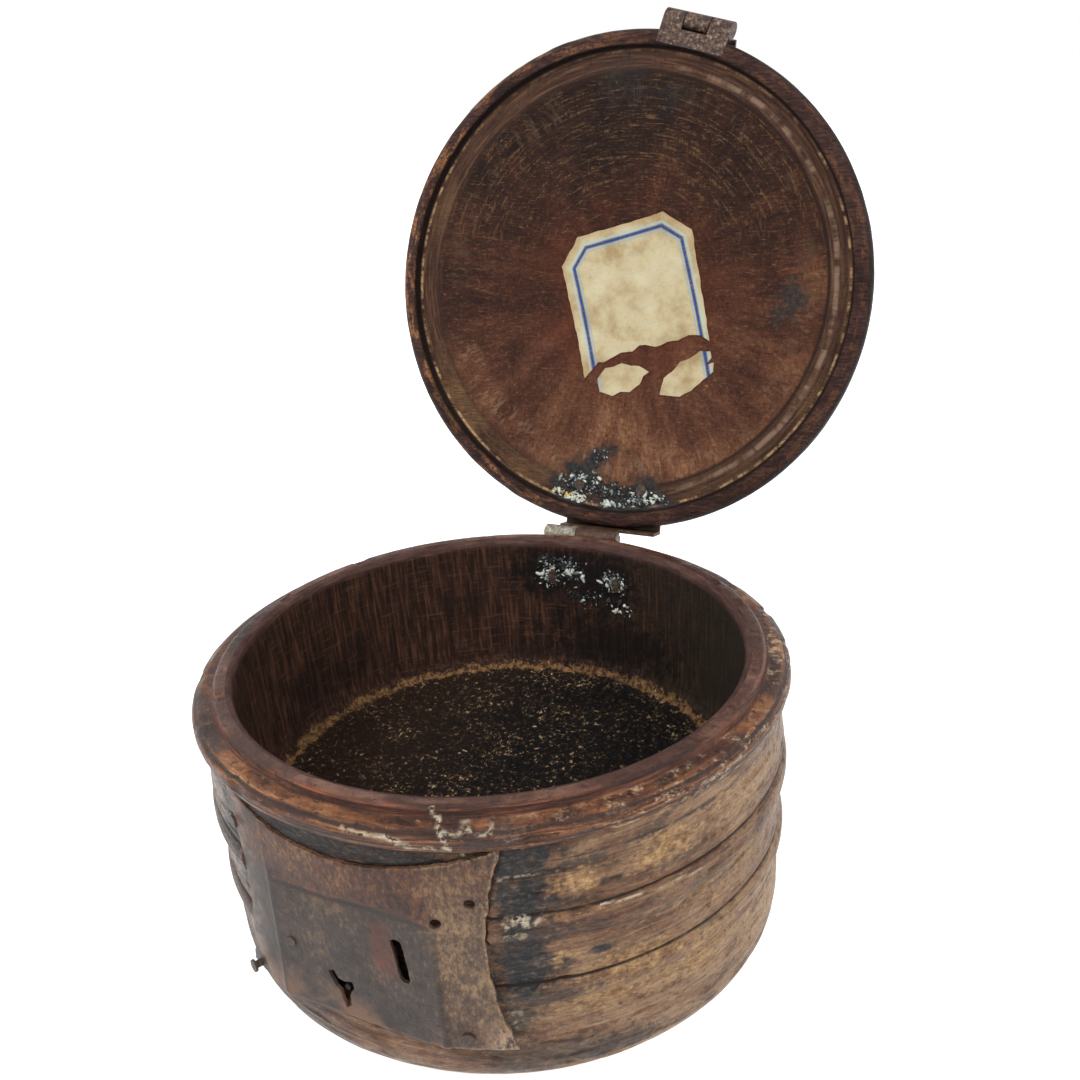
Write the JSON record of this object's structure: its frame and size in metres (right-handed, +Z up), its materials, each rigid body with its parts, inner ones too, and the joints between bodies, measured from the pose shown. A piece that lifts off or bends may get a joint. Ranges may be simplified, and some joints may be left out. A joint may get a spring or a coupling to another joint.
{
  "type": "betel box",
  "caption": "Round turned wooden box with a dished lid on a rear hinge, a swinging hasp, and a waisted lock plate with a sliding bolt behind it.",
  "frame": {"origin": "centre of the flat underside, on the drum's axis", "axes": "+Z up the drum's axis, +Y towards the lid's hinge, -Y out through the lock plate, +X to the right seen from the front"},
  "size_m": [0.125, 0.1847, 0.1826],
  "materials": {
    "wood": "turned and worn, once varnished, rubbed bare in places",
    "sheet_iron": "dull, stained and pitted",
    "hasp_iron": "rusted brown with pale corrosion",
    "nail_iron": "rusted, with white and green corrosion",
    "works_iron": "plain worked iron, oiled",
    "paper": "aged, matt, with a printed border"
  },
  "bodies": {
    "drum": {"body": "wood", "lock_plate": "sheet_iron", "lock_plate_nails": "nail_iron", "lock_back_plate": "works_iron", "lock_rivets": "nail_iron", "bolt_guide_left": "works_iron", "bolt_keeper_right": "works_iron", "bolt_spring": "works_iron", "key_pin": "works_iron", "lock_ward": "works_iron", "rear_hinge_body_leaf": "sheet_iron", "body_hinge_nails": "nail_iron", "rear_hinge_pin": "nail_iron"},
    "lid": {"lid": "wood", "rear_hinge_lid_leaf": "sheet_iron", "lid_hinge_nails": "nail_iron", "label": "paper", "hasp_leaf": "hasp_iron", "hasp_leaf_rivets": "nail_iron", "hasp_pin": "nail_iron"},
    "hasp": {"hasp": "hasp_iron", "hasp_staple": "hasp_iron"},
    "bolt": {"lock_bolt": "works_iron"}
  },
  "joints": [
    {"name": "lid_hinge", "type": "hinge", "parent": "drum", "child": "lid", "pos_m": [0, 0.0648, 0.0562], "axis": [1, 0, 0], "range_deg": [0, 104.8]},
    {"name": "hasp_pivot", "type": "hinge", "parent": "lid", "child": "hasp", "pos_m": [0.01879, 0.10097, 0.17803], "axis": [0.9573, -0.0738, -0.2794], "range_deg": [0, 236]},
    {"name": "bolt_slide", "type": "slide", "parent": "drum", "child": "bolt", "axis": [1, 0, 0], "range_m": [0, 0.006]}
  ]
}
